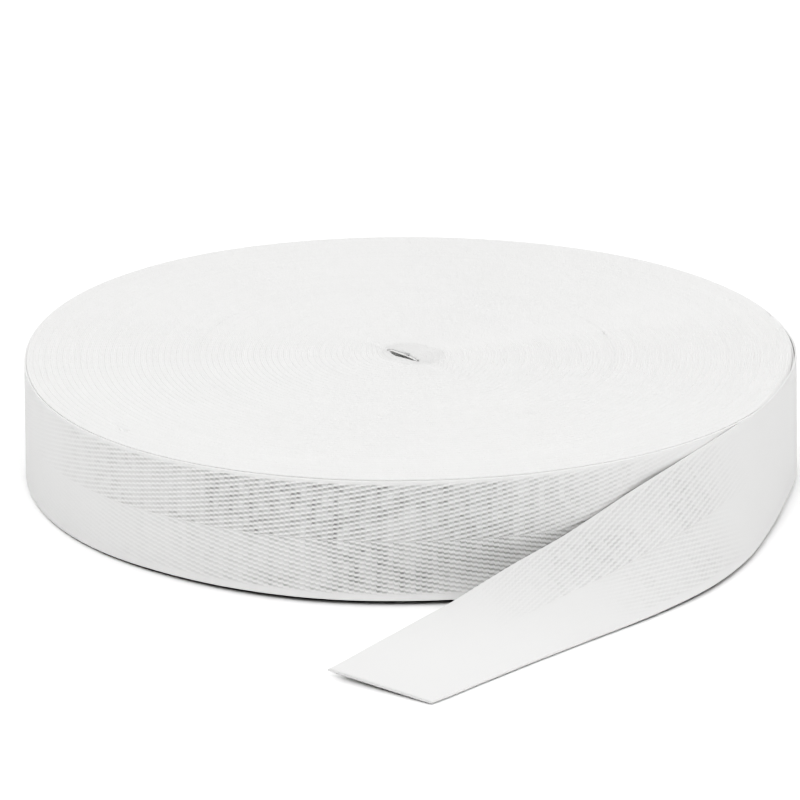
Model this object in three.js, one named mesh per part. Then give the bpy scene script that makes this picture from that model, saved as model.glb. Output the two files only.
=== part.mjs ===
import * as THREE from 'three';

// A roll of white herringbone twill tape that lies flat on a surface.
// Its outer end peels off the wound disc, twists outward and comes to rest flat in front of the roll.
// Its inner end lies along the eye, a slit in the middle of the disc.
// Millimetres, +Z up. The surface is z = 0 and the origin is the middle of the part's footprint.
// Angles go round the roll's axis, in degrees, counterclockwise from +X as seen from above.
// The tape is wound clockwise outward, so a place further along it has a smaller angle.

// Tape
const TAPE_WIDTH = 25;
const TURN_THICKNESS = 0.42;
const SHEET_THICKNESS = 1;
const CLEARANCE = 0.3;

// Wound disc: a circle with a slight out of round, in waves per turn
const ROLL_RADIUS = 81.6;
const OUT_OF_ROUND = [
  { waves: 2, inPhase: -0.1, crossPhase: 0.5 },
  { waves: 3, inPhase: 0.5, crossPhase: 0.3 },
  { waves: 4, inPhase: -0.5, crossPhase: 0 },
];
const RIM_SOFTNESS = 0.5;
const OUTLINE_STEPS = 180;

// Where the outer turn parts from the disc, and how far past that the wall stays set back to seat it
const PARTING_ANGLE = 18;
const SEAT_FULL = 52;
const SEAT_END = 80;

// Eye: where the innermost turns have closed up to a slit, long way along EYE_TURN
const EYE_X = -1.5;
const EYE_Y = -1.4;
const EYE_TURN = -53;
const EYE_HALF_LENGTH = 6.2;
const EYE_HALF_WIDTH = 1.9;
const EYE_STEPS = 18;

// Inner end of the tape: a strip along the middle of the eye, bowed a little to its far side
const INNER_HALF_LENGTH = 5.1;
const INNER_OFFSET = 0.35;
const INNER_BOW = 0.3;
const INNER_STEPS = 10;

// Loose outer end, one row for every 17 mm or so of tape, from the parting line to the cut.
// around is the angle of its lower edge, out how far that edge is from the disc's wall,
// and lean how far the tape leans back from upright towards the disc, until it lies flat.
const LOOSE_ROWS = [
  { around: 18, out: 0, lean: 0 },
  { around: 6, out: 0.1, lean: 0 },
  { around: -6, out: 0.7, lean: 1.5 },
  { around: -18, out: 1.3, lean: 3 },
  { around: -30, out: 4.5, lean: 9.5 },
  { around: -41, out: 10, lean: 22 },
  { around: -51, out: 15.7, lean: 34.5 },
  { around: -61, out: 21.3, lean: 52.5 },
  { around: -70, out: 27.8, lean: 66.5 },
  { around: -77.5, out: 36.2, lean: 77 },
  { around: -83.5, out: 46, lean: 81.5 },
  { around: -88.7, out: 57.2, lean: 86.5 },
];
const CUT_SKEW = 4;
const STEPS_PER_ROW = 6;
const STEPS_ACROSS = 6;

const UP = new THREE.Vector3(0, 0, 1);

const tapeCotton = new THREE.MeshStandardMaterial({ color: 0xf1f0ee, roughness: 0.95, metalness: 0 });
const looseCotton = new THREE.MeshStandardMaterial({ color: 0xf4f3f1, roughness: 0.95, metalness: 0 });
const innerCotton = new THREE.MeshStandardMaterial({ color: 0xe9e8e5, roughness: 0.95, metalness: 0 });

function radians(degrees) {
  return THREE.MathUtils.degToRad(degrees);
}

// Point at an angle and a distance from the roll's axis
function polar(degrees, distance, z = 0) {
  return new THREE.Vector3(distance * Math.cos(radians(degrees)), distance * Math.sin(radians(degrees)), z);
}

// Radius of the disc's visible wall at an angle
function wallRadius(degrees) {
  let radius = ROLL_RADIUS;
  for (const { waves, inPhase, crossPhase } of OUT_OF_ROUND) {
    const phase = radians(waves * degrees);
    radius += inPhase * Math.cos(phase) + crossPhase * Math.sin(phase);
  }
  return radius;
}

// Set-back of the disc from its wall, at a clockwise angle past the parting line:
// a spiral turn, deepened next to the parting line to seat the loose end
function setBack(past) {
  const spiral = TURN_THICKNESS * (1 - past / 360);
  const fade = THREE.MathUtils.smoothstep(past, SEAT_FULL, SEAT_END);
  return THREE.MathUtils.lerp(SHEET_THICKNESS + CLEARANCE, spiral, fade);
}

// Disc outline: one spiral turn that steps out by the tape at the parting line
function discOutline() {
  const points = [];
  for (let step = 0; step <= OUTLINE_STEPS; step++) {
    const past = (360 * step) / OUTLINE_STEPS;
    const angle = PARTING_ANGLE - past;
    const point = polar(angle, wallRadius(angle) - setBack(past));
    points.push(new THREE.Vector2(point.x, point.y));
  }
  return points;
}

// Eye outline: a long ellipse
function eyeOutline() {
  const eye = new THREE.Path();
  eye.absellipse(EYE_X, EYE_Y, EYE_HALF_LENGTH, EYE_HALF_WIDTH, 0, 2 * Math.PI, false, radians(EYE_TURN));
  return eye;
}

function woundRoll() {
  const outline = new THREE.Shape(discOutline());
  outline.holes.push(eyeOutline());
  const geometry = new THREE.ExtrudeGeometry(outline, {
    depth: TAPE_WIDTH - 2 * RIM_SOFTNESS,
    curveSegments: EYE_STEPS,
    bevelEnabled: true,
    bevelSize: RIM_SOFTNESS,
    bevelOffset: -RIM_SOFTNESS,
    bevelThickness: RIM_SOFTNESS,
    bevelSegments: 2,
  });
  geometry.translate(0, 0, RIM_SOFTNESS);
  return geometry;
}

// Closed sheet between two grids of points, [step along][step across], seen from the outer side
function sheetGeometry(outer, inner) {
  const along = outer.length - 1;
  const across = outer[0].length - 1;
  const positions = [];
  const quad = (a, b, c, d) => {
    for (const corner of [a, b, c, a, c, d]) positions.push(corner.x, corner.y, corner.z);
  };
  for (let i = 0; i < along; i++) {
    for (let j = 0; j < across; j++) {
      quad(outer[i][j], outer[i][j + 1], outer[i + 1][j + 1], outer[i + 1][j]);
      quad(inner[i][j], inner[i + 1][j], inner[i + 1][j + 1], inner[i][j + 1]);
    }
    quad(outer[i][0], outer[i + 1][0], inner[i + 1][0], inner[i][0]);
    quad(outer[i][across], inner[i][across], inner[i + 1][across], outer[i + 1][across]);
  }
  for (let j = 0; j < across; j++) {
    quad(outer[0][j], inner[0][j], inner[0][j + 1], outer[0][j + 1]);
    quad(outer[along][j], outer[along][j + 1], inner[along][j + 1], inner[along][j]);
  }
  const geometry = new THREE.BufferGeometry();
  geometry.setAttribute('position', new THREE.Float32BufferAttribute(positions, 3));
  geometry.computeVertexNormals();
  return geometry;
}

// Smooth value of one column between the rows, at a row number that may be fractional
function smoothRow(column, row) {
  const last = LOOSE_ROWS.length - 1;
  const index = Math.min(Math.floor(row), last - 1);
  const t = row - index;
  const at = (k) => {
    if (k < 0) return 2 * LOOSE_ROWS[0][column] - LOOSE_ROWS[1][column];
    if (k > last) return 2 * LOOSE_ROWS[last][column] - LOOSE_ROWS[last - 1][column];
    return LOOSE_ROWS[k][column];
  };
  const [before, here, next, after] = [at(index - 1), at(index), at(index + 1), at(index + 2)];
  const slope = next - before;
  const bend = 2 * before - 5 * here + 4 * next - after;
  const twist = after - before + 3 * (here - next);
  return here + 0.5 * t * (slope + t * (bend + t * twist));
}

// Place of the loose end's lower edge on the surface, at a row number
function lowerEdge(row) {
  const angle = smoothRow('around', row);
  return polar(angle, wallRadius(angle) + smoothRow('out', row));
}

// The loose end's directions at a row: along the tape, across it from its lower edge, and outward
function looseFrame(row) {
  const reach = 0.05;
  const last = LOOSE_ROWS.length - 1;
  const start = lowerEdge(Math.max(row - reach, 0));
  const along = lowerEdge(Math.min(row + reach, last)).sub(start).normalize();
  const inward = new THREE.Vector3(along.y, -along.x, 0);
  const lean = radians(Math.max(smoothRow('lean', row), 0));
  const across = UP.clone().multiplyScalar(Math.cos(lean)).addScaledVector(inward, Math.sin(lean));
  const outward = UP.clone().multiplyScalar(Math.sin(lean)).addScaledVector(inward, -Math.cos(lean));
  return { along, across, outward };
}

function looseEnd() {
  const last = LOOSE_ROWS.length - 1;
  const buttGap = THREE.MathUtils.radToDeg(CLEARANCE / ROLL_RADIUS);
  const firstRow = buttGap / (LOOSE_ROWS[0].around - LOOSE_ROWS[1].around);
  const steps = last * STEPS_PER_ROW;
  const outer = [];
  const inner = [];
  for (let i = 0; i <= steps; i++) {
    const row = firstRow + ((last - firstRow) * i) / steps;
    const { along, across, outward } = looseFrame(row);
    const lift = SHEET_THICKNESS * outward.z;
    const skew = CUT_SKEW * Math.max(row - last + 1, 0);
    const outerColumn = [];
    const innerColumn = [];
    for (let j = 0; j <= STEPS_ACROSS; j++) {
      const share = j / STEPS_ACROSS;
      const point = lowerEdge(row)
        .addScaledVector(across, TAPE_WIDTH * share)
        .addScaledVector(along, skew * share)
        .addScaledVector(UP, lift);
      outerColumn.push(point);
      innerColumn.push(point.clone().addScaledVector(outward, -SHEET_THICKNESS));
    }
    outer.push(outerColumn);
    inner.push(innerColumn);
  }
  return sheetGeometry(outer, inner);
}

function innerEnd() {
  const outer = [];
  const inner = [];
  for (let i = 0; i <= INNER_STEPS; i++) {
    const side = 1 - (2 * i) / INNER_STEPS;
    const middle = INNER_OFFSET - INNER_BOW * side * side;
    const column = (v) => [0, TAPE_WIDTH].map((z) => new THREE.Vector3(INNER_HALF_LENGTH * side, v, z));
    outer.push(column(middle - SHEET_THICKNESS / 2));
    inner.push(column(middle + SHEET_THICKNESS / 2));
  }
  return sheetGeometry(outer, inner);
}

function addPiece(parent, name, geometry, material) {
  const piece = new THREE.Mesh(geometry, material);
  piece.name = name;
  parent.add(piece);
  return piece;
}

const group = new THREE.Group();
addPiece(group, 'wound_roll', woundRoll(), tapeCotton);
addPiece(group, 'loose_end', looseEnd(), looseCotton);
const innerPiece = addPiece(group, 'inner_end', innerEnd(), innerCotton);
innerPiece.position.set(EYE_X, EYE_Y, 0);
innerPiece.rotation.z = radians(EYE_TURN);

// Centre the footprint on the origin
group.updateMatrixWorld(true);
const middle = new THREE.Box3().setFromObject(group, true).getCenter(new THREE.Vector3());
group.position.set(-middle.x, -middle.y, 0);

export default group;
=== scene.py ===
import bpy
import numpy as np
from mathutils import Matrix, Vector


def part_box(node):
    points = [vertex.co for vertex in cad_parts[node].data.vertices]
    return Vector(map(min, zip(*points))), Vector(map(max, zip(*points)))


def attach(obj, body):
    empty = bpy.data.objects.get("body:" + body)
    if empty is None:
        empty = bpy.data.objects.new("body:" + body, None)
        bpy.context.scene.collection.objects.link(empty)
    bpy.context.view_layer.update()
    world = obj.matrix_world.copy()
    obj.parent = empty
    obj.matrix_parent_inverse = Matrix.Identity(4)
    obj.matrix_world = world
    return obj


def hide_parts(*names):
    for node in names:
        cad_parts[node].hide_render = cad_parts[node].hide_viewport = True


# A roll of white herringbone twill tape, wound flat into a disc. Its outer end peels off the side,
# twists outward and lies flat in front, and its inner end lies along the closed-up eye in the middle.
# Lengths are in millimetres and angles in degrees until a mesh, light or camera is written in metres.
# Angles go round the roll's axis, counterclockwise from +X as seen from above.
# The tape is wound clockwise outward, so a place further along it has a smaller angle.

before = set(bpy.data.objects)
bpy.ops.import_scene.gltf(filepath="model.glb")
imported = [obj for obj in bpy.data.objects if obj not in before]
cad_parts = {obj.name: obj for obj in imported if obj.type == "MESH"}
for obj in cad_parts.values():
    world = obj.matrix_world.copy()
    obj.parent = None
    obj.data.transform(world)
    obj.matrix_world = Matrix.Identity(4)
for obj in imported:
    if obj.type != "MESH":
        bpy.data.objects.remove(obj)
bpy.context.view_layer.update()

MM = 0.001
SEED = 11

# Tape
TAPE_WIDTH = 25.0
TAPE_THICKNESS = 0.42
EDGE_ROUNDING = 0.12
FACE_ROWS = 104
BACK_ROWS = 6

# Weave: a two by two herringbone twill with its reversal at mid-width, and a plain selvedge along each edge
WARP_ENDS = 104
END_PITCH = TAPE_WIDTH / WARP_ENDS
PICK_PITCH = 1.1
TWILL_REPEAT = 4
TWILL_RELIEF = 0.05
RIDGE_PLACE = 0.35
LINE_STEPS_FROM = 0.7

# How far in from the lower and the upper edge the relief and the tones of the weave begin
LOWER_RELIEF_BEGINS = (1.6, 2.4)
UPPER_RELIEF_BEGINS = (0.7, 1.5)
LOWER_TONES_BEGIN = (1.2, 2.0)
UPPER_TONES_BEGIN = (0.5, 1.0)

# Tones of the wound wall, the loose end and the selvedges, and where along the tape
# the first becomes the second. The loose end is the same cotton; its lower tone is painted shade.
WOUND_TONE = 0.752
LOOSE_SHADED_TONE = 0.707
EDGE_TONE = 0.725
LOOSE_SHADED_TONE_BEGINS = (512.0, 538.0)

# Green and blue of the cotton, as shares of its red
WARMTH = (0.998, 0.992)

# Tones of the weave: painted shade in the pits between the lines, a painted highlight on the floats on them,
# painted shade between single ends, and fibres
PIT_PAINTED_SHADE = 0.29
FLOAT_PAINTED_HIGHLIGHT = 0.22
END_PAINTED_SHADE = 0.03
FIBRE_TONE = 0.04

# Shares of a line's height between which pits and floats grow, and where a single end has the plain tone
PIT_RIDGE = (0.62, 0.1)
FLOAT_RIDGE = (0.5, 1.0)
PLAIN_END = 0.6

# How pits differ in depth and painted shade: at least this much, then at random, by how their pick pulls in,
# and in patches
PIT_LEAST = 0.3
PIT_RANDOM = 0.8
PIT_PULL = 0.28
PIT_PATCH_LEAST = 0.5
PIT_PATCH = 0.7
PATCH_NOISE = (0.36, 0.62)

# A pit or float fades towards the ends of its pick, to this share, and is even where the weave is plain
DASH_LEAST = 0.3
DASH_PLAIN = 0.8

# Bump of the yarns, in millimetres, and the shares of single ends and fibres in it
YARN_BUMP = 0.1
END_BUMP = 0.2
FIBRE_BUMP = 0.15

# How far uneven yarns move the picks, in picks, and turn their pull, in radians
PICK_UNEVEN = 0.8
PULL_UNEVEN = 9.0

# Noise in the cotton, in waves a metre
UNEVEN_WAVES = 260.0
PATCH_WAVES = 75.0
FIBRE_WAVES = 5200.0
EDGE_FIBRE_WAVES = 2600.0
EDGE_PATCH_WAVES = 45.0

# Selvedges seen edge on: bump, and tones of their fibres, patches and single turns
EDGE_BUMP = 0.12
EDGE_FIBRE_TONE = 0.05
EDGE_PATCH_TONE = 0.015
EDGE_RING_TONE = 0.008

# How crisp the weave is along the tape: plain below starts and above ends, crisp from full to fades.
# The lower half of the tape starts so much later and fades so much earlier.
WOUND_CRISP = {
    "starts": 82.0, "full": 165.0, "fades": 178.0, "ends": 258.0,
    "later": 0.0, "earlier": 24.0, "plain": 0.04, "crisp": 1.0,
}
LOOSE_CRISP = {
    "starts": 584.0, "full": 614.0, "fades": 634.0, "ends": 670.0,
    "later": 9.0, "earlier": 22.0, "plain": 0.0, "crisp": 0.42,
}

# Wound disc: a circle with a slight out of round, as (waves per turn, in phase, cross phase)
ROLL_RADIUS = 81.6
OUT_OF_ROUND = ((2, -0.1, 0.5), (3, 0.5, 0.3), (4, -0.5, 0.0))
PARTING_ANGLE = 18.0

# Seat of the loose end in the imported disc: full up to one angle past the parting line and gone at the next,
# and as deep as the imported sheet's thickness and clearance
SEAT_FULL = 52.0
SEAT_END = 80.0
SHEET_THICKNESS = 1.0
CLEARANCE = 0.3

# Eye: a slit where the innermost turns have closed up, its long way along EYE_TURN.
# Below a lip it widens over a sloping ledge into a hollow. EYE_UNDERCUT is how much wider that is, in turns,
# and HOLLOW_TURNS how many turns it crowds.
EYE_CENTRE = np.array([-1.0, 0.6])
EYE_TURN = -53.0
EYE_HALF_LENGTH = 5.15
EYE_HALF_WIDTH = 0.95
EYE_UNDERCUT = 2.0
EYE_LIP = 0.45
EYE_LEDGE = 0.1
HOLLOW_TURNS = 8.0

# The turns round the eye have sunk a little: how many, how deep, how unevenly, and the angle where most
SUNK_TURNS = 15.0
SUNK_DEPTH = 0.12
SUNK_UNEVEN = 0.55
SUNK_DEEPEST = 110.0

# Painted shade on the sunk turns round the eye: they are a little greyer, in the shape of a lens.
# Its tone fades between these shares of its half sizes.
PAINTED_SHADE_CENTRE = np.array([0.5, 1.7])
PAINTED_SHADE_TURN = -40.0
PAINTED_SHADE_HALF_LENGTH = 8.9
PAINTED_SHADE_HALF_WIDTH = 6.6
PAINTED_SHADE_DARKNESS = 0.06
PAINTED_SHADE_OUTLINE = (1.08, 0.9)

# Turns on the two faces of the disc. MIDDLE_TURN parts the inner body from the outer one, which ends
# at LAST_BODY_TURN. The profile of a turn's edge is (share of the turn, height).
TURNS = 188
MIDDLE_TURN = 100
LAST_BODY_TURN = TURNS - 2
TURN_PROFILE = ((0.0, -0.1), (0.3, 0.0), (0.7, 0.0))
GRID_COLUMNS = 120

# Unevenness of the edges: a wander along each turn and a slow drift over many turns
TURN_WANDER = 0.03
WANDERS_PER_TURN = 5.0
TURN_DRIFT = 0.05
DRIFT_TURNS = 3.0

# Rim: how many of the outermost turns drop, and how far the last one does
RIM_TURNS = 4.0
RIM_DROP = 0.35

# Small dimples in the upper face: (angle, distance from the roll's axis, length round it, width, depth)
DIMPLES = (
    (139.9, 71.7, 0.8, 0.8, 0.35),
    (-142.5, 75.3, 2.2, 0.7, 0.7),
    (-140.4, 75.9, 0.6, 0.5, 1.2),
    (27.6, 77.4, 0.8, 0.8, 0.7),
    (-57.0, 45.5, 0.6, 0.8, 0.3),
    (-28.8, 7.9, 1.2, 0.8, 0.4),
    (-0.7, 8.6, 0.6, 0.5, 0.25),
    (137.0, 7.2, 1.5, 0.7, 0.5),
    (38.6, 6.6, 2.2, 0.9, 0.35),
    (-105.0, 5.6, 1.5, 0.5, 0.5),
)

# Columns of a grid of turns stand this close together, this far to each side of a dimple
DIMPLE_STEP = 0.5
DIMPLE_SPAN = 3.0

# How far the outer turns ride up off the surface, at the angle where they do so most and elsewhere.
# It starts at the first distance in from the wall and is full at the second.
LIFT_FRONT = 1.15
LIFT_ELSEWHERE = 0.3
LIFT_FRONT_ANGLE = -88.0
LIFT_STARTS_IN = 14.0
LIFT_FULL_IN = 7.0

# How far their lower edges flare outward in front, and how far round from there that lasts
FLARE = 2.5
FLARE_ANGLE = -88.0
FLARE_FULL = 8.0
FLARE_NONE = 45.0

# Inner end of the tape, in the eye's own directions. Its upper edge curls to the near side,
# from this height up.
INNER_HALF_LENGTH = 4.4
INNER_OFFSET = 1.1
INNER_BOW = 0.3
INNER_COLUMNS_ALONG = 24
INNER_CURL = 0.7
INNER_CURL_FROM = 23.8

# How far the innermost turn stands proud of the hollow's wall, in turns
EYE_TURN_PROUD = 0.2

# Loose outer end: (angle of its lower edge, how far that is from the disc's wall,
# lean back towards the disc, height of the lower edge off the surface)
LOOSE_ROWS = (
    (18, 0, 0, 0.3),
    (6, 0.1, 0, 0.6),
    (-6, 0.7, 1.5, 1.3),
    (-18, 1.3, 3, 1.5),
    (-30, 4.5, 10, 1.1),
    (-41, 10, 25.5, 0.9),
    (-51, 15.7, 39.5, 0.8),
    (-61, 21.3, 57.5, 0.5),
    (-70, 27.8, 67.5, 0.3),
    (-77.5, 36.2, 77, 0.3),
    (-83.5, 46, 82, 0.3),
    (-88.7, 57.2, 87.3, 0.3),
)
CUT_SKEW = 4.0

# The loose end's upper edge starts as low as the rim and rises to full width over so many rows
DROP_ROWS = 2

# Columns of the strips of tape
OUTER_TURN_COLUMNS = 730
EYE_TURN_COLUMNS = 180
LOOSE_COLUMNS = 270

# Camera, placed from the roll's axis at the surface: a long lens that looks down from the front
CAMERA_PLACE = (-17.4, -1588.9, 562.8)
CAMERA_YAW = 0.57
CAMERA_PITCH = 19.02
CAMERA_LENS = 360.0
CAMERA_SENSOR = 36.0

# Surroundings: dark near the horizon, bright halfway up and dimmer overhead.
# Heights are shares of the way up.
SKY_SIDE_FROM = 0.4
SKY_SIDE_FULL = 0.55
SKY_SIDE = 2.4
SKY_TOP_FROM = 0.7
SKY_TOP_FULL = 0.8
SKY_TOP = 0.7

# Tone curve of a bright, contrasty product picture: only what is dark gets darker.
# It is drawn in the view's last curve, which holds for all three colours.
COMBINED_CURVE = 3
TONE_CURVE = ((0.06, 0.0), (0.15, 0.03), (0.3, 0.185), (0.5, 0.45), (0.75, 0.745))

# Soft lights: (name, place in metres, side in metres, power in watts)
SOFT_LIGHTS = (
    ("key", (-0.25, -1.1, 1.15), 1.0, 3.7),
    ("fill", (1.35, -0.6, 0.6), 1.0, 2.4),
)


def smoothstep(x, low, high):
    """0 below low, 1 above high and smooth between them."""
    t = np.clip((x - low) / (high - low), 0, 1)
    return t * t * (3 - 2 * t)


def smooth_noise(places, seed):
    """Random values between -1 and 1 at the whole numbers, joined smoothly at the given places."""
    rng = np.random.default_rng(seed)
    places = np.asarray(places, float)
    first = int(np.floor(places.min()))
    knots = rng.uniform(-1, 1, int(np.ceil(places.max())) - first + 2)
    whole = np.floor(places).astype(int) - first
    t = places - np.floor(places)
    t = t * t * (3 - 2 * t)
    return knots[whole] * (1 - t) + knots[whole + 1] * t


def polar(degrees, distance):
    """Points in the plane at the given angles and distances."""
    phi = np.radians(degrees)
    return np.stack([distance * np.cos(phi), distance * np.sin(phi)], axis=-1)


def wall_radius(degrees):
    """Radius of the disc's visible wall."""
    radius = np.full(np.shape(degrees), ROLL_RADIUS)
    for waves, in_phase, cross_phase in OUT_OF_ROUND:
        phase = np.radians(waves * degrees)
        radius = radius + in_phase * np.cos(phase) + cross_phase * np.sin(phase)
    return radius


def eye_radius(degrees):
    """Radius of the eye's outline, about the eye's own centre."""
    psi = np.radians(degrees - EYE_TURN)
    return 1 / np.hypot(np.cos(psi) / EYE_HALF_LENGTH, np.sin(psi) / EYE_HALF_WIDTH)


def spiral_point(turn, degrees):
    """Point of the spiral, where turn is 0 at the eye's outline and TURNS at the wall, fractions included."""
    level = turn / TURNS
    radius = eye_radius(degrees) * (1 - level) + wall_radius(degrees) * level
    return EYE_CENTRE * (1 - level)[..., None] + polar(degrees, radius)


def node_outline():
    """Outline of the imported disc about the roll's axis, which tells where that axis lies in the frame."""
    past = np.linspace(0, 360, 181)
    spiral = TAPE_THICKNESS * (1 - past / 360)
    fade = smoothstep(past, SEAT_FULL, SEAT_END)
    set_back = (SHEET_THICKNESS + CLEARANCE) * (1 - fade) + spiral * fade
    angle = PARTING_ANGLE - past
    return polar(angle, wall_radius(angle) - set_back)


def roll_axis():
    """Place of the roll's axis in the frame."""
    low, high = (np.array(corner)[:2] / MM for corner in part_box("wound_roll"))
    outline = node_outline()
    return ((low + high) - (outline.min(axis=0) + outline.max(axis=0))) / 2


AXIS = np.append(roll_axis(), 0.0)


def front_lift(degrees):
    """How far the outermost turns ride up off the surface."""
    facing = np.cos(np.radians(degrees - LIFT_FRONT_ANGLE))
    return LIFT_ELSEWHERE + (LIFT_FRONT - LIFT_ELSEWHERE) * np.clip(facing, 0, 1) ** 2


def front_flare(degrees):
    """How far the lower edges of the outermost turns flare outward."""
    away = np.abs((degrees - FLARE_ANGLE + 180) % 360 - 180)
    return FLARE * (1 - smoothstep(away, FLARE_FULL, FLARE_NONE))


def rim_drop(turn):
    """How far the upper edges of the outermost turns drop, which rounds the rim."""
    return RIM_DROP * np.clip((turn - TURNS + RIM_TURNS) / RIM_TURNS, 0, 1) ** 2


def moved_out(points, amount):
    """Points of the plane, moved away from the roll's axis."""
    distance = np.hypot(points[:, 0], points[:, 1])
    return points * (1 + amount / distance)[:, None]


def hollow_turn(turn):
    """Place of a turn under the eye's lip, where the hollow is wider."""
    return turn + EYE_UNDERCUT * (1 - smoothstep(turn, 1, 1 + HOLLOW_TURNS))


def sunk_depth(turn, degrees):
    """How far the turns round the eye have sunk below the face of the disc."""
    uneven = 1 + SUNK_UNEVEN * np.cos(np.radians(degrees - SUNK_DEEPEST))
    return SUNK_DEPTH * uneven * (1 - smoothstep(turn, 0, SUNK_TURNS))


def dimple_depth(points):
    """Depth of the dimples at points of the upper face."""
    depth = np.zeros(len(points))
    for angle, distance, length, width, deepest in DIMPLES:
        centre = polar(angle, distance)
        outward = polar(angle, 1.0)
        round_the_axis = polar(angle + 90, 1.0)
        offset = points - centre
        spread = (offset @ round_the_axis / length) ** 2 + (offset @ outward / width) ** 2
        depth += deepest * np.exp(-spread)
    return depth


def mesh_object(name, vertices, faces, uv, materials, walls=0):
    """Mesh object from points about the roll's axis, with a map in metres along and across the tape.
    The last faces, as many as walls, are flat and of the second material. All others are smooth."""
    mesh = bpy.data.meshes.new(name)
    mesh.from_pydata(((vertices + AXIS) * MM).tolist(), [], faces)
    loops = np.empty(len(mesh.loops), np.int32)
    mesh.loops.foreach_get("vertex_index", loops)
    layer = mesh.uv_layers.new(name="tape")
    layer.data.foreach_set("uv", (uv[loops] * MM).astype(np.float32).ravel())
    for material in materials:
        mesh.materials.append(material)
    is_wall = np.arange(len(faces)) >= len(faces) - walls
    mesh.polygons.foreach_set("material_index", is_wall.astype(np.int32))
    mesh.polygons.foreach_set("use_smooth", ~is_wall)
    mesh.update()
    piece = bpy.data.objects.new(name, mesh)
    bpy.context.scene.collection.objects.link(piece)
    return piece


def crispness(along, across, crisp):
    """Share of the full weave at places of the tape."""
    lower = across < TAPE_WIDTH / 2
    begun = smoothstep(along - np.where(lower, crisp["later"], 0), crisp["starts"], crisp["full"])
    faded = smoothstep(along + np.where(lower, crisp["earlier"], 0), crisp["fades"], crisp["ends"])
    window = begun * (1 - faded)
    return crisp["plain"] + (crisp["crisp"] - crisp["plain"]) * window


def twill_height(along, across, crisp):
    """Relief of the twill lines, 0 on a ridge and -TWILL_RELIEF between two where the weave is crisp."""
    from_middle = np.abs(across - TAPE_WIDTH / 2) / END_PITCH
    reversal = np.where(across < TAPE_WIDTH / 2, TWILL_REPEAT / 2, 0)
    phase = (from_middle + along / PICK_PITCH + reversal) / TWILL_REPEAT
    inside = smoothstep(across, *LOWER_RELIEF_BEGINS) * smoothstep(TAPE_WIDTH - across, *UPPER_RELIEF_BEGINS)
    furrow = 0.5 - 0.5 * np.cos(2 * np.pi * phase)
    return -TWILL_RELIEF * crispness(along, across, crisp) * inside * furrow


def tape_section(back_rows):
    """Closed section of the tape: (across, depth below the face, share of relief) for each point."""
    inset = TAPE_WIDTH - EDGE_ROUNDING
    face = [(w, 0.0, 1.0) for w in np.linspace(EDGE_ROUNDING, inset, FACE_ROWS)]
    turn = np.radians(np.array([45.0, 0.0, -45.0]))
    half = TAPE_THICKNESS / 2
    upper = [(inset + EDGE_ROUNDING * np.cos(a), half * (1 - np.sin(a)), 0.0) for a in turn]
    back = [(w, TAPE_THICKNESS, -1.0) for w in np.linspace(inset, EDGE_ROUNDING, back_rows)]
    lower = [(EDGE_ROUNDING - EDGE_ROUNDING * np.cos(a), half * (1 + np.sin(a)), 0.0) for a in turn]
    return np.array(face + upper + back + lower)


def tape_strip(name, base, distance, crisp, material, lean=0, skew=0, stands=1, curl=0, back_rows=BACK_ROWS):
    """Closed strip of tape. base is the face's lower edge and distance the length of tape up to each place.
    lean is its tilt from upright towards the inner side, skew how far the upper edge runs ahead, stands
    the share of its width that it stands up to, and curl how far the upper edge bends out."""
    along = directions(base * [1, 1, 0])
    lean, skew, stands = (np.broadcast_to(value, distance.shape) for value in (lean, skew, stands))
    up = np.array([0.0, 0.0, 1.0])
    inward = np.stack([along[:, 1], -along[:, 0], np.zeros(len(along))], axis=1)
    tilt = np.radians(lean)[:, None]
    across = up * np.cos(tilt) + inward * np.sin(tilt)
    outward = up * np.sin(tilt) - inward * np.cos(tilt)
    section = tape_section(back_rows)
    count = len(section)
    w = section[:, 0]
    travel = distance[:, None] + skew[:, None] * w / TAPE_WIDTH
    relief = twill_height(travel, np.broadcast_to(w, travel.shape), crisp) * section[:, 2]
    bent = curl * smoothstep(w, INNER_CURL_FROM, TAPE_WIDTH)
    depth = relief - section[:, 1] + bent
    vertices = (
        base[:, None]
        + (across * stands[:, None])[:, None] * w[None, :, None]
        + outward[:, None] * depth[..., None]
        + along[:, None] * (skew[:, None] * w / TAPE_WIDTH)[..., None]
    )
    uv = np.stack([travel, np.broadcast_to(w, travel.shape)], axis=-1)
    faces = []
    for i in range(len(base) - 1):
        here, there = i * count, (i + 1) * count
        for j in range(count):
            k = (j + 1) % count
            faces.append((here + j, here + k, there + k, there + j))
    faces.append(tuple(range(count - 1, -1, -1)))
    faces.append(tuple((len(base) - 1) * count + j for j in range(count)))
    return mesh_object(name, vertices.reshape(-1, 3), faces, uv.reshape(-1, 2), (material,))


def directions(points):
    """Unit directions along a row of points."""
    step = np.gradient(points, axis=0)
    return step / np.linalg.norm(step, axis=1)[:, None]


def travelled(points):
    """Length of a row of points up to each of them."""
    return np.append(0.0, np.cumsum(np.linalg.norm(np.diff(points, axis=0), axis=1)))


def raised(points, height=0.0):
    """Points of the plane at a height."""
    return np.column_stack([points, np.broadcast_to(height, len(points))])


def turn_columns(first_turn, last_turn):
    """Angles past the parting line for the columns of a grid of turns, closer together at its dimples."""
    columns = [np.linspace(0, 360, GRID_COLUMNS + 1)]
    for angle, distance, *_ in DIMPLES:
        if first_turn < distance * TURNS / ROLL_RADIUS < last_turn:
            middle = (PARTING_ANGLE - angle) % 360
            low, high = middle - DIMPLE_SPAN, middle + DIMPLE_SPAN + DIMPLE_STEP / 2
            columns.append(np.arange(low, high, DIMPLE_STEP))
    columns = np.sort(np.concatenate(columns))
    columns = columns[(columns >= 0) & (columns <= 360)]
    spaced = np.append(np.diff(columns) > DIMPLE_STEP / 4, True)
    return np.append(0.0, columns[spaced][1:])


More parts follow.
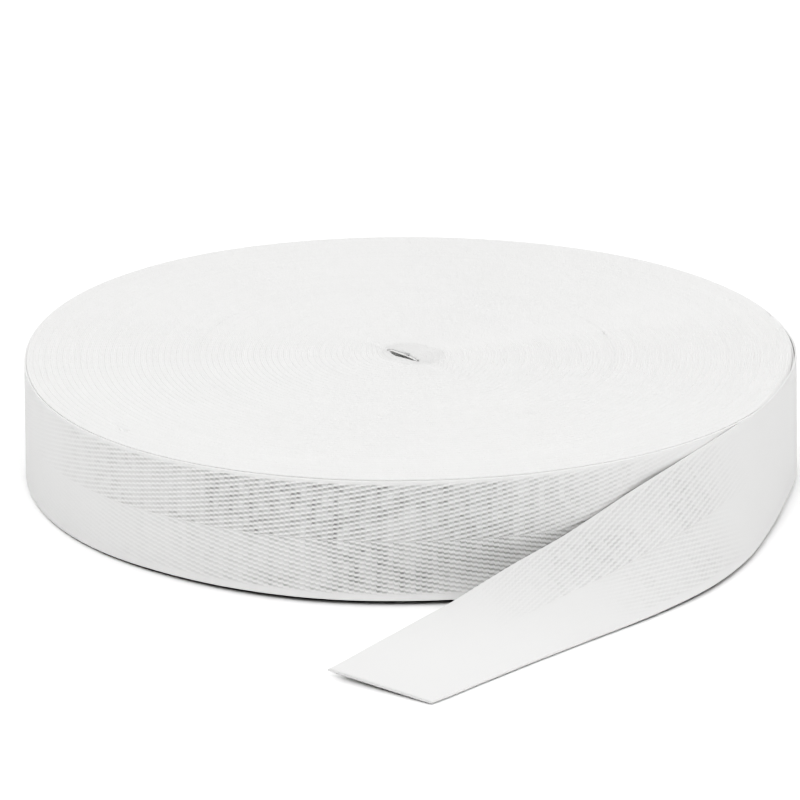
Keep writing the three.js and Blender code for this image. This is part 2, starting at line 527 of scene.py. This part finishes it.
def turn_rows(first_turn, last_turn):
    """Rows of a grid of turns, as (turn, height of its edge): the profile once for every turn."""
    rows = [(turn + share, rise) for turn in range(first_turn, last_turn) for share, rise in TURN_PROFILE]
    # Beside the outermost turn of tape the edge is level
    rows.append((last_turn, 0.0 if last_turn == LAST_BODY_TURN else TURN_PROFILE[0][1]))
    return rows


def spiral_grid(row_count, column_count):
    """Numbers of the points in a grid of turns. A row's last column is the same place as the first column
    of the row one turn further out."""
    per_turn = len(TURN_PROFILE)
    index = np.zeros((row_count, column_count + 1), int)
    index[:, :-1] = np.arange(row_count * column_count).reshape(row_count, column_count)
    index[:-per_turn, -1] = index[per_turn:, 0]
    index[-per_turn:, -1] = row_count * column_count + np.arange(per_turn)
    return index


def turn_height(place, rise):
    """Height of the turns' edges over the tape's own width: their wander, drift and place in the profile."""
    wander = TURN_WANDER * smooth_noise(place * WANDERS_PER_TURN, SEED)
    drift = TURN_DRIFT * smooth_noise(place / DRIFT_TURNS, SEED + 1)
    return rise + wander + drift


def turn_points(turn, rise, past):
    """One row of a grid of turns: its points on the upper face and on the lower one, and their map."""
    degrees = PARTING_ANGLE - past
    place = turn + past / 360
    points = spiral_point(place, degrees)
    distance = np.hypot(points[:, 0], points[:, 1])
    near_wall = 1 - smoothstep(wall_radius(degrees) - distance, LIFT_FULL_IN, LIFT_STARTS_IN)
    lift = front_lift(degrees) * near_wall
    sunk = sunk_depth(place, degrees) + dimple_depth(points) + rim_drop(place)
    top = raised(points, TAPE_WIDTH + lift + turn_height(place, rise) - sunk)
    foot = moved_out(spiral_point(hollow_turn(place), degrees), front_flare(degrees) * near_wall)
    return top, raised(foot, lift - rise), np.column_stack([np.radians(past) * distance, place])


def ring_faces(upper, lower):
    """Faces of the wall between two closed rings of points."""
    return np.stack([upper, lower, np.roll(lower, -1), np.roll(upper, -1)], axis=1)


def wound_turns(name, first_turn, last_turn, materials):
    """Closed body of the turns between two of them, with every turn's edge on both faces."""
    past = turn_columns(first_turn, last_turn)
    rows = turn_rows(first_turn, last_turn)
    index = spiral_grid(len(rows), len(past) - 1)
    side_count = index.max() + 1
    top = np.zeros((side_count, 3))
    bottom = np.zeros((side_count, 3))
    uv = np.zeros((side_count, 2))
    for numbers, (turn, rise) in zip(index, rows):
        top[numbers], bottom[numbers], uv[numbers] = turn_points(turn, rise, past)

    # The rings close over the step of the spiral, which is a turn's three rows
    outer_ring = np.append(index[-1], [index[-2, -1], index[-3, -1]])
    inner_ring = np.append(index[0], [index[2, 0], index[1, 0]])

    # The inner wall is a lip with a wider hollow below it
    foot_of_lip = top[inner_ring, 2] - EYE_LIP
    lip = np.column_stack([top[inner_ring, :2], foot_of_lip])
    ledge = np.column_stack([bottom[inner_ring, :2], foot_of_lip - EYE_LEDGE])
    lip_ring = 2 * side_count + np.arange(len(inner_ring))
    ledge_ring = lip_ring + len(inner_ring)

    corners = (index[:-1, :-1], index[1:, :-1], index[1:, 1:], index[:-1, 1:])
    upper_side = np.stack(corners, axis=-1).reshape(-1, 4)
    lower_side = side_count + upper_side[:, ::-1]
    walls = np.vstack([
        ring_faces(outer_ring[::-1], side_count + outer_ring[::-1]),
        ring_faces(inner_ring, lip_ring),
        ring_faces(lip_ring, ledge_ring),
        ring_faces(ledge_ring, side_count + inner_ring),
    ])
    faces = np.vstack([upper_side, lower_side, walls]).tolist()
    vertices = np.vstack([top, bottom, lip, ledge])
    uv = np.vstack([uv, uv, uv[inner_ring], uv[inner_ring]])
    return mesh_object(name, vertices, faces, uv, materials, walls=len(walls))


def outer_turn(material):
    """The outermost turn, from the parting line once round to it."""
    past = np.linspace(0, 360, OUTER_TURN_COLUMNS + 1)
    degrees = PARTING_ANGLE - past
    place = TURNS - 1 + past / 360
    points = spiral_point(place, degrees)
    distance = travelled(points)
    flare = front_flare(degrees)
    base = raised(moved_out(points, flare), front_lift(degrees))
    lean = np.degrees(np.arcsin(flare / TAPE_WIDTH))
    stands = 1 - rim_drop(place) / TAPE_WIDTH
    piece = tape_strip("outer_turn", base, distance, WOUND_CRISP, material, lean=lean, stands=stands)
    return piece, distance[-1]


def smooth_rows(table, rows):
    """Catmull-Rom values of a table's columns at row numbers that may be fractional."""
    table = np.asarray(table, float)
    padded = np.vstack([2 * table[0] - table[1], table, 2 * table[-1] - table[-2]])
    index = np.minimum(np.floor(rows).astype(int), len(table) - 2)
    t = (rows - index)[:, None]
    before, here, after, beyond = (padded[index + k] for k in range(4))
    slope = after - before
    bend = 2 * before - 5 * here + 4 * after - beyond
    twist = beyond - before + 3 * (here - after)
    return here + 0.5 * t * (slope + t * (bend + t * twist))


def loose_tape(start_distance, material):
    """The loose outer end, from the parting line to its slightly oblique cut."""
    last = len(LOOSE_ROWS) - 1
    rows = np.linspace(0, last, LOOSE_COLUMNS + 1)
    angle, out, lean, height = smooth_rows(LOOSE_ROWS, rows).T
    lean = np.maximum(lean, 0)
    points = polar(angle, wall_radius(angle) + out)
    along = directions(raised(points))
    lift = TAPE_THICKNESS * np.sin(np.radians(lean)) + height
    inward = np.stack([along[:, 1], -along[:, 0]], axis=1)
    middle = points + inward * (TAPE_WIDTH / 2 * np.sin(np.radians(lean)))[:, None]
    distance = start_distance + (travelled(points) + travelled(middle)) / 2
    skew = CUT_SKEW * np.clip(rows - last + 1, 0, 1)
    stands = 1 - RIM_DROP / TAPE_WIDTH * (1 - smoothstep(rows, 0, DROP_ROWS))
    base = raised(points, lift)
    return tape_strip(
        "loose_tape", base, distance, LOOSE_CRISP, material, lean, skew, stands, back_rows=FACE_ROWS
    )


def eye_point(u, v):
    """Point of the plane from the eye's own directions, u along its long way and v across it."""
    turn = np.radians(EYE_TURN)
    x = EYE_CENTRE[0] + u * np.cos(turn) - v * np.sin(turn)
    y = EYE_CENTRE[1] + u * np.sin(turn) + v * np.cos(turn)
    return np.stack([x, y], axis=-1)


def inner_tape(material):
    """The inner end of the tape, along the eye, with its upper edge curled to the near side."""
    side = np.linspace(1, -1, INNER_COLUMNS_ALONG + 1)
    middle = INNER_OFFSET - INNER_BOW * side * side
    points = eye_point(INNER_HALF_LENGTH * side, middle - TAPE_THICKNESS / 2)
    stands = 1 - sunk_depth(0.0, EYE_TURN + 90 - 90 * side) / TAPE_WIDTH
    return tape_strip(
        "inner_tape", raised(points), travelled(points), WOUND_CRISP, material, stands=stands, curl=INNER_CURL
    )


def eye_turn(material):
    """The innermost turn, round the wall of the eye."""
    past = np.linspace(0, 360, EYE_TURN_COLUMNS + 1)
    degrees = PARTING_ANGLE - past
    points = spiral_point(hollow_turn(1 + past / 360) - EYE_TURN_PROUD, degrees)
    stands = 1 - (sunk_depth(past / 360, degrees) + EYE_LIP + 2 * EYE_LEDGE) / TAPE_WIDTH
    return tape_strip("eye_turn", raised(points), travelled(points), WOUND_CRISP, material, stands=stands)


class Shader:
    """Adds nodes to a node tree. Values given to a call are numbers or other nodes' outputs."""

    def __init__(self, tree):
        self.tree = tree

    def add(self, kind, **settings):
        node = self.tree.nodes.new(kind)
        for name, value in settings.items():
            setattr(node, name, value)
        return node

    def feed(self, socket, value):
        if isinstance(value, bpy.types.NodeSocket):
            self.tree.links.new(value, socket)
        else:
            socket.default_value = value

    def math(self, operation, *values):
        node = self.add("ShaderNodeMath", operation=operation)
        for socket, value in zip(node.inputs, values):
            self.feed(socket, value)
        return node.outputs[0]

    def mix(self, share, first, second):
        node = self.add("ShaderNodeMix", data_type="FLOAT")
        self.feed(node.inputs[0], share)
        self.feed(node.inputs[2], first)
        self.feed(node.inputs[3], second)
        return node.outputs[0]

    def ramp(self, value, low, high):
        node = self.add("ShaderNodeMapRange", interpolation_type="SMOOTHSTEP")
        self.feed(node.inputs[0], value)
        self.feed(node.inputs[1], low)
        self.feed(node.inputs[2], high)
        return node.outputs[0]

    def noise(self, vector, scale, detail):
        node = self.add("ShaderNodeTexNoise")
        self.feed(node.inputs["Vector"], vector)
        self.feed(node.inputs["Scale"], scale)
        self.feed(node.inputs["Detail"], detail)
        return node.outputs["Fac"]

    def centred_noise(self, vector, scale, detail):
        return self.math("SUBTRACT", self.noise(vector, scale, detail), 0.5)


def cotton_material(name):
    """Empty matt cotton material, with its shader helper and its main shader."""
    material = bpy.data.materials.new(name)
    material.use_nodes = True
    shader = Shader(material.node_tree)
    surface = material.node_tree.nodes["Principled BSDF"]
    surface.inputs["Roughness"].default_value = 0.92
    surface.inputs["Specular IOR Level"].default_value = 0.25
    surface.inputs["Sheen Weight"].default_value = 0.12
    surface.inputs["Sheen Roughness"].default_value = 0.5
    return material, shader, surface


def finish_surface(shader, surface, tone, height, relief):
    """Near-white colour of a tone, and bump of a height, on the main shader."""
    tint = shader.add("ShaderNodeCombineColor")
    shader.feed(tint.inputs[0], tone)
    shader.feed(tint.inputs[1], shader.math("MULTIPLY", tone, WARMTH[0]))
    shader.feed(tint.inputs[2], shader.math("MULTIPLY", tone, WARMTH[1]))
    shader.feed(surface.inputs["Base Color"], tint.outputs[0])
    bump = shader.add("ShaderNodeBump")
    shader.feed(bump.inputs["Height"], height)
    bump.inputs["Distance"].default_value = relief * MM
    bump.inputs["Strength"].default_value = 1.0
    shader.feed(surface.inputs["Normal"], bump.outputs[0])


def tape_map(shader):
    """The map along and across the tape, whole and as two lengths in millimetres."""
    place = shader.add("ShaderNodeUVMap", uv_map="tape").outputs[0]
    split = shader.add("ShaderNodeSeparateXYZ")
    shader.feed(split.inputs[0], place)
    return place, shader.math("DIVIDE", split.outputs[0], MM), shader.math("DIVIDE", split.outputs[1], MM)


def weave_share(shader, along, across, lower, crisp):
    """Share of the full weave: fading along the tape, and plain at the selvedges."""
    late = shader.math("MULTIPLY_ADD", lower, -crisp["later"], along)
    early = shader.math("MULTIPLY_ADD", lower, crisp["earlier"], along)
    begun = shader.ramp(late, crisp["starts"], crisp["full"])
    lasting = shader.ramp(early, crisp["ends"], crisp["fades"])
    window = shader.math("MULTIPLY", begun, lasting)
    from_upper = shader.math("SUBTRACT", TAPE_WIDTH, across)
    inside = shader.math(
        "MULTIPLY", shader.ramp(across, *LOWER_TONES_BEGIN), shader.ramp(from_upper, *UPPER_TONES_BEGIN)
    )
    return shader.math("MULTIPLY", inside, shader.mix(window, crisp["plain"], crisp["crisp"]))


def pit_depth_and_shade(shader, place, uneven, line_index, pick_index):
    """How deep the pits are and how much painted shade they get: they differ from cell to cell and in
    patches, and some picks pull in more.
    """
    cell = shader.add("ShaderNodeCombineXYZ")
    shader.feed(cell.inputs[0], line_index)
    shader.feed(cell.inputs[1], pick_index)
    random_cell = shader.add("ShaderNodeTexWhiteNoise", noise_dimensions="2D")
    shader.feed(random_cell.inputs["Vector"], cell.outputs[0])
    pick_turn = shader.math("MULTIPLY", pick_index, 2 * np.pi / TWILL_REPEAT)
    pull = shader.math("COSINE", shader.math("MULTIPLY_ADD", uneven, PULL_UNEVEN, pick_turn))
    strength = shader.math("MULTIPLY_ADD", random_cell.outputs["Value"], PIT_RANDOM, PIT_LEAST)
    strength = shader.math("MULTIPLY_ADD", pull, PIT_PULL, strength)
    patch = shader.ramp(shader.noise(place, PATCH_WAVES, 1.0), *PATCH_NOISE)
    return shader.math("MULTIPLY", strength, shader.math("MULTIPLY_ADD", patch, PIT_PATCH, PIT_PATCH_LEAST))


def twill_material(name, tone, crisp, join=None):
    """Woven face of the tape: lines of warp floats, stepped one end a pick, with a pit at each pick
    between two lines. The pits get painted shade and the floats a painted highlight. join is the tone at the
    start of the piece and where along the tape it changes."""
    material, shader, surface = cotton_material(name)
    place, along, across = tape_map(shader)
    if join:
        first_tone, begins, done = join
        tone = shader.mix(shader.ramp(along, begins, done), first_tone, tone)

    # Uneven yarns move the picks a little
    uneven = shader.centred_noise(place, UNEVEN_WAVES, 2.0)
    picks = shader.math("MULTIPLY_ADD", uneven, PICK_UNEVEN, shader.math("DIVIDE", along, PICK_PITCH))
    pick_index = shader.math("FLOOR", picks)
    in_pick = shader.math("FRACT", picks)
    from_middle = shader.math("ABSOLUTE", shader.math("SUBTRACT", across, TAPE_WIDTH / 2))
    ends = shader.math("DIVIDE", from_middle, END_PITCH)
    lower = shader.math("LESS_THAN", across, TAPE_WIDTH / 2)
    share = weave_share(shader, along, across, lower, crisp)

    # A line keeps its place within a pick and steps by one end to the next
    step = shader.math("ADD", pick_index, shader.ramp(in_pick, LINE_STEPS_FROM, 1.0))
    from_reversal = shader.math("MULTIPLY_ADD", lower, TWILL_REPEAT / 2, ends)
    phase = shader.math("ADD", from_reversal, shader.math("ADD", step, RIDGE_PLACE))
    turn = shader.math("MULTIPLY", phase, 2 * np.pi / TWILL_REPEAT)
    ridge = shader.math("MULTIPLY_ADD", shader.math("COSINE", turn), 0.5, 0.5)
    line_index = shader.math("FLOOR", shader.math("DIVIDE", phase, TWILL_REPEAT))

    # Pits lie between the lines and floats on them, one to a pick. Pits get painted shade, floats a painted
    # highlight.
    bulge = shader.math("SINE", shader.math("MULTIPLY", in_pick, np.pi))
    dash = shader.math("MULTIPLY_ADD", bulge, 1 - DASH_LEAST, DASH_LEAST)
    dash = shader.mix(share, DASH_PLAIN, dash)
    strength = pit_depth_and_shade(shader, place, uneven, line_index, pick_index)
    pit = shader.math("MULTIPLY", shader.ramp(ridge, *PIT_RIDGE), shader.math("MULTIPLY", dash, strength))
    float_painted_highlight = shader.math("MULTIPLY", shader.ramp(ridge, *FLOAT_RIDGE), dash)
    # Painted shade in the pits and a painted highlight on the floats
    painted_light_and_shade = shader.math("MULTIPLY", pit, -PIT_PAINTED_SHADE)
    painted_light_and_shade = shader.math("MULTIPLY_ADD", float_painted_highlight, FLOAT_PAINTED_HIGHLIGHT, painted_light_and_shade)
    painted_light_and_shade = shader.math("SUBTRACT", painted_light_and_shade, FLOAT_PAINTED_HIGHLIGHT / 2)

    # Single ends are round, with painted shade between them and lighter crowns, and their fibres stand up
    in_end = shader.math("SINE", shader.math("MULTIPLY", shader.math("FRACT", ends), np.pi))
    fibre = shader.centred_noise(place, FIBRE_WAVES, 3.0)
    tone = shader.math("MULTIPLY_ADD", shader.math("MULTIPLY", painted_light_and_shade, share), tone, tone)
    tone = shader.math("MULTIPLY_ADD", shader.math("SUBTRACT", in_end, PLAIN_END), END_PAINTED_SHADE, tone)
    tone = shader.math("MULTIPLY_ADD", fibre, FIBRE_TONE, tone)
    height = shader.math("MULTIPLY", shader.math("SUBTRACT", ridge, pit), share)
    height = shader.math("MULTIPLY_ADD", in_end, END_BUMP, height)
    height = shader.math("MULTIPLY_ADD", fibre, FIBRE_BUMP, height)
    finish_surface(shader, surface, tone, height, YARN_BUMP)
    return material


def painted_shade_share(shader, place, patch):
    """Share of the painted shade round the eye: 1 inside a lens with an uneven outline, 0 outside."""
    lens = shader.add("ShaderNodeMapping", vector_type="TEXTURE")
    shader.feed(lens.inputs["Vector"], place)
    lens.inputs["Location"].default_value = tuple((np.append(PAINTED_SHADE_CENTRE, 0.0) + AXIS) * MM)
    lens.inputs["Rotation"].default_value = (0, 0, np.radians(PAINTED_SHADE_TURN))
    lens.inputs["Scale"].default_value = (PAINTED_SHADE_HALF_LENGTH * MM, PAINTED_SHADE_HALF_WIDTH * MM, 1)
    from_centre = shader.add("ShaderNodeVectorMath", operation="LENGTH")
    shader.feed(from_centre.inputs[0], lens.outputs[0])
    return shader.ramp(shader.math("ADD", patch, from_centre.outputs["Value"]), *PAINTED_SHADE_OUTLINE)


def edge_material(name):
    """Selvedges of the wound turns, seen edge on: fibres, faint patches, a faint tone of each turn and
    painted shade round the eye.
    """
    material, shader, surface = cotton_material(name)
    place = shader.add("ShaderNodeTexCoord").outputs["Object"]
    fibre = shader.centred_noise(place, EDGE_FIBRE_WAVES, 3.0)
    patch = shader.centred_noise(place, EDGE_PATCH_WAVES, 2.0)
    turn_number = tape_map(shader)[2]
    random_tone = shader.add("ShaderNodeTexWhiteNoise", noise_dimensions="1D")
    shader.feed(random_tone.inputs["W"], shader.math("FLOOR", turn_number))
    ring = shader.math("SUBTRACT", random_tone.outputs["Value"], 0.5)
    tone = shader.math("MULTIPLY_ADD", fibre, EDGE_FIBRE_TONE, EDGE_TONE)
    tone = shader.math("MULTIPLY_ADD", patch, EDGE_PATCH_TONE, tone)
    tone = shader.math("MULTIPLY_ADD", ring, EDGE_RING_TONE, tone)
    # Painted shade on the sunk turns round the eye
    eye_painted_shade = painted_shade_share(shader, place, patch)
    tone = shader.math("MULTIPLY", tone, shader.math("MULTIPLY_ADD", eye_painted_shade, -PAINTED_SHADE_DARKNESS, 1.0))
    finish_surface(shader, surface, tone, fibre, EDGE_BUMP)
    return material


def floor_stage():
    """Large plain pale floor, 40 metres wide."""
    half = 20.0
    corners = [(-half, -half, 0), (half, -half, 0), (half, half, 0), (-half, half, 0)]
    mesh = bpy.data.meshes.new("floor")
    mesh.from_pydata(corners, [], [(0, 1, 2, 3)])
    material = bpy.data.materials.new("pale_floor")
    material.use_nodes = True
    surface = material.node_tree.nodes["Principled BSDF"]
    surface.inputs["Base Color"].default_value = (1.0, 1.0, 1.0, 1)
    surface.inputs["Roughness"].default_value = 1.0
    surface.inputs["Specular IOR Level"].default_value = 0.0
    mesh.materials.append(material)
    floor = bpy.data.objects.new("floor", mesh)
    bpy.context.scene.collection.objects.link(floor)


def soft_light(name, place, side, power):
    """Square soft light at a place in metres, turned to the roll."""
    light = bpy.data.lights.new(name, "AREA")
    light.shape = "SQUARE"
    light.size = side
    light.energy = power
    lamp = bpy.data.objects.new(name, light)
    lamp.location = place
    lamp.rotation_euler = Vector(place).to_track_quat("Z", "Y").to_euler()
    bpy.context.scene.collection.objects.link(lamp)


def studio_light():
    """Pale surroundings, brightest halfway up, with soft lights in front and at the right."""
    world = bpy.data.worlds.new("studio")
    world.use_nodes = True
    shader = Shader(world.node_tree)
    split = shader.add("ShaderNodeSeparateXYZ")
    shader.feed(split.inputs[0], shader.add("ShaderNodeTexCoord").outputs["Generated"])
    height = split.outputs[2]
    side = shader.math("MULTIPLY", shader.ramp(height, SKY_SIDE_FROM, SKY_SIDE_FULL), SKY_SIDE)
    strength = shader.mix(shader.ramp(height, SKY_TOP_FROM, SKY_TOP_FULL), side, SKY_TOP)
    background = world.node_tree.nodes["Background"]
    background.inputs["Color"].default_value = (1, 1, 1, 1)
    shader.feed(background.inputs["Strength"], strength)
    bpy.context.scene.world = world
    for light in SOFT_LIGHTS:
        soft_light(*light)
    view = bpy.context.scene.view_settings
    view.view_transform = "Standard"
    view.use_curve_mapping = True
    for dark, darker in TONE_CURVE:
        view.curve_mapping.curves[COMBINED_CURVE].points.new(dark, darker)
    view.curve_mapping.update()


def photo_camera():
    """Camera at the photograph's angle."""
    data = bpy.data.cameras.new("camera")
    data.lens = CAMERA_LENS
    data.sensor_width = CAMERA_SENSOR
    data.clip_start = 0.05
    data.clip_end = 100.0
    camera = bpy.data.objects.new("camera", data)
    yaw, pitch = np.radians(CAMERA_YAW), np.radians(CAMERA_PITCH)
    right = np.array([np.cos(yaw), -np.sin(yaw), 0.0])
    forward = np.array([np.sin(yaw) * np.cos(pitch), np.cos(yaw) * np.cos(pitch), -np.sin(pitch)])
    axes = np.eye(4)
    axes[:3, 0] = right
    axes[:3, 1] = np.cross(right, forward)
    axes[:3, 2] = -forward
    axes[:3, 3] = (np.array(CAMERA_PLACE) + AXIS) * MM
    camera.matrix_world = Matrix(axes.tolist())
    bpy.context.scene.collection.objects.link(camera)
    bpy.context.scene.camera = camera


photo_camera()
studio_light()
floor_stage()

wound_cotton = twill_material("wound_twill", WOUND_TONE, WOUND_CRISP)
# The loose end's darker tone is painted shade on the same cotton
loose_cotton = twill_material("loose_twill", LOOSE_SHADED_TONE, LOOSE_CRISP, join=(WOUND_TONE, *LOOSE_SHADED_TONE_BEGINS))
edge_cotton = edge_material("turn_edges")

outer, wound_length = outer_turn(wound_cotton)
loose = loose_tape(wound_length, loose_cotton)
outer_turns = wound_turns("turns_outer", MIDDLE_TURN, LAST_BODY_TURN, (edge_cotton, wound_cotton))
inner_turns = wound_turns("turns_inner", 1, MIDDLE_TURN, (edge_cotton, wound_cotton))
innermost = eye_turn(wound_cotton)
tail = inner_tape(wound_cotton)

for piece in (outer, outer_turns, inner_turns, innermost):
    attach(piece, "root")
    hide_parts("wound_roll")
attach(loose, "root")
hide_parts("loose_end")
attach(tail, "root")
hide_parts("inner_end")

bpy.context.view_layer.update()
